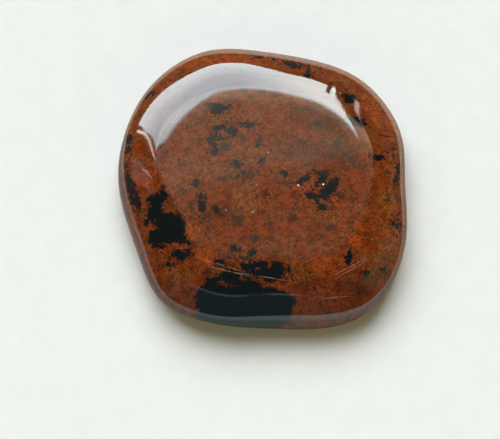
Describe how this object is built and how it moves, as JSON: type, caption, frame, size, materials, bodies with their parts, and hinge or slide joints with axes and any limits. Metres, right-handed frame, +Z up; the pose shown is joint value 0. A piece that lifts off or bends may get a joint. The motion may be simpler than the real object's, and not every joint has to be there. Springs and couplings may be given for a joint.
{
  "type": "obsidian stone",
  "caption": "Flat tumbled stone of red-brown mahogany obsidian with black patches, a domed polished top, a rounded edge and a flat base to rest on.",
  "frame": {"origin": "on the flat base, under the middle of the stone's bounding box", "axes": "+Z up through the stone's thickness, from the flat base to the domed top; +X and +Y lie in the plane of the slab, with +Y towards the stone's shorter, straighter side"},
  "size_m": [0.0346, 0.0344, 0.008],
  "materials": {
    "obsidian": "polished, glassy, red-brown with black patches and specks"
  },
  "bodies": {
    "root": {"stone": "obsidian"}
  },
  "joints": []
}
